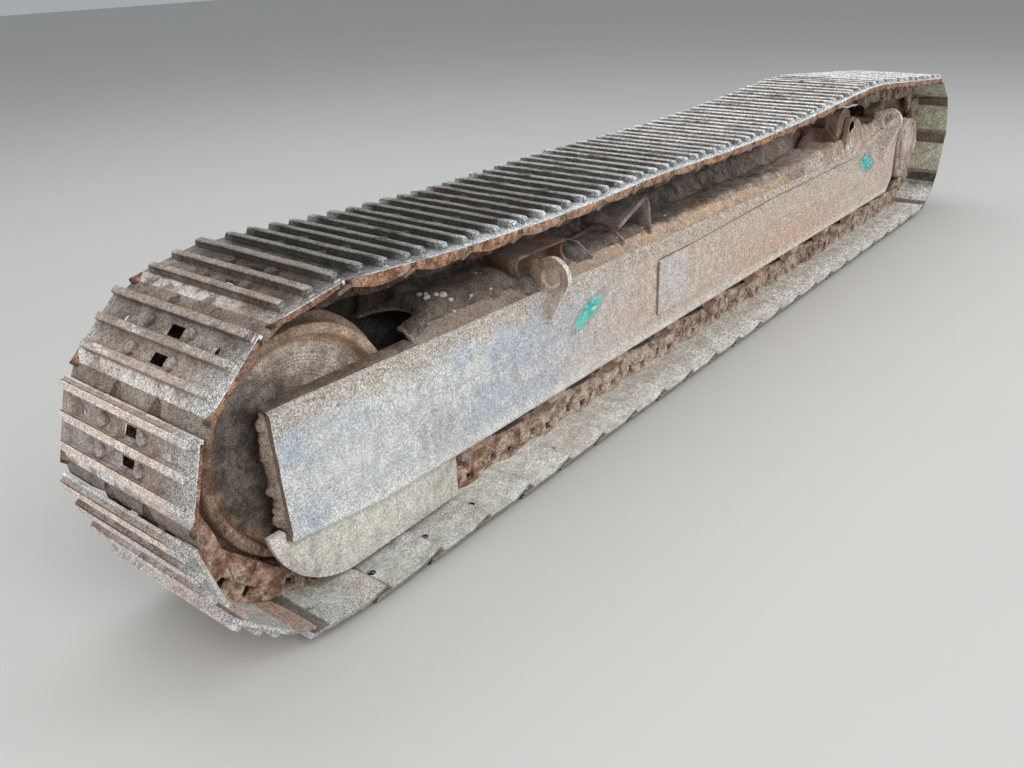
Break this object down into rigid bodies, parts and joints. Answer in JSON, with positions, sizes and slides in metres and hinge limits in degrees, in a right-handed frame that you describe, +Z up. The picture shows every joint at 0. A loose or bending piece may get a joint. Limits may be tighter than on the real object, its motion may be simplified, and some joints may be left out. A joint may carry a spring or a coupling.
{
  "type": "crawler track unit",
  "caption": "One side's crawler track undercarriage: closed triple-grouser shoe loop around idler, rollers and sprocket on a welded box track frame.",
  "frame": {"origin": "on the ground below the middle of the track unit", "axes": "+X along the track from the idler to the sprocket, +Y across towards the machine's middle, +Z up"},
  "size_m": [4.9198, 0.5, 0.8457],
  "materials": {
    "shoe_steel": "worn and dusty",
    "chain_steel": "rusty and muddy",
    "idler_steel": "rusty rim, dusty web",
    "rusty_steel": "rusty",
    "bare_steel": "dull",
    "frame_paint": "worn grey paint under dust"
  },
  "bodies": {
    "root": {"access_cover": "frame_paint", "carrier_bracket": "frame_paint", "carrier_roller": "chain_steel", "chain_guard_inner": "frame_paint", "chain_guard_outer": "frame_paint", "drive_motor": "rusty_steel", "final_drive": "rusty_steel", "fork_lips": "frame_paint", "frame_deck": "frame_paint", "frame_roof": "frame_paint", "frame_side_inner": "frame_paint", "frame_side_outer": "frame_paint", "guide_bars": "rusty_steel", "idler_axle": "bare_steel", "idler_blocks": "rusty_steel", "idler_yoke": "rusty_steel", "rear_bulkhead": "frame_paint", "recoil_rod": "bare_steel", "recoil_spring": "rusty_steel", "roller_mounts": "rusty_steel", "saddle_front": "frame_paint", "saddle_rear": "frame_paint", "skid_front": "rusty_steel", "skid_rear": "rusty_steel", "spring_cover": "rusty_steel", "sprocket": "chain_steel", "tie_lug_front": "frame_paint", "tie_lug_rear": "frame_paint", "track_chain": "chain_steel", "track_rollers": "chain_steel", "track_shoes": "shoe_steel", "web_strip": "frame_paint"},
    "idler": {"idler_wheel": "idler_steel"}
  },
  "joints": [
    {"name": "idler_spin", "type": "hinge", "parent": "root", "child": "idler", "pos_m": [-2.03658, 0, 0.418], "axis": [0, 1, 0], "continuous": true}
  ]
}
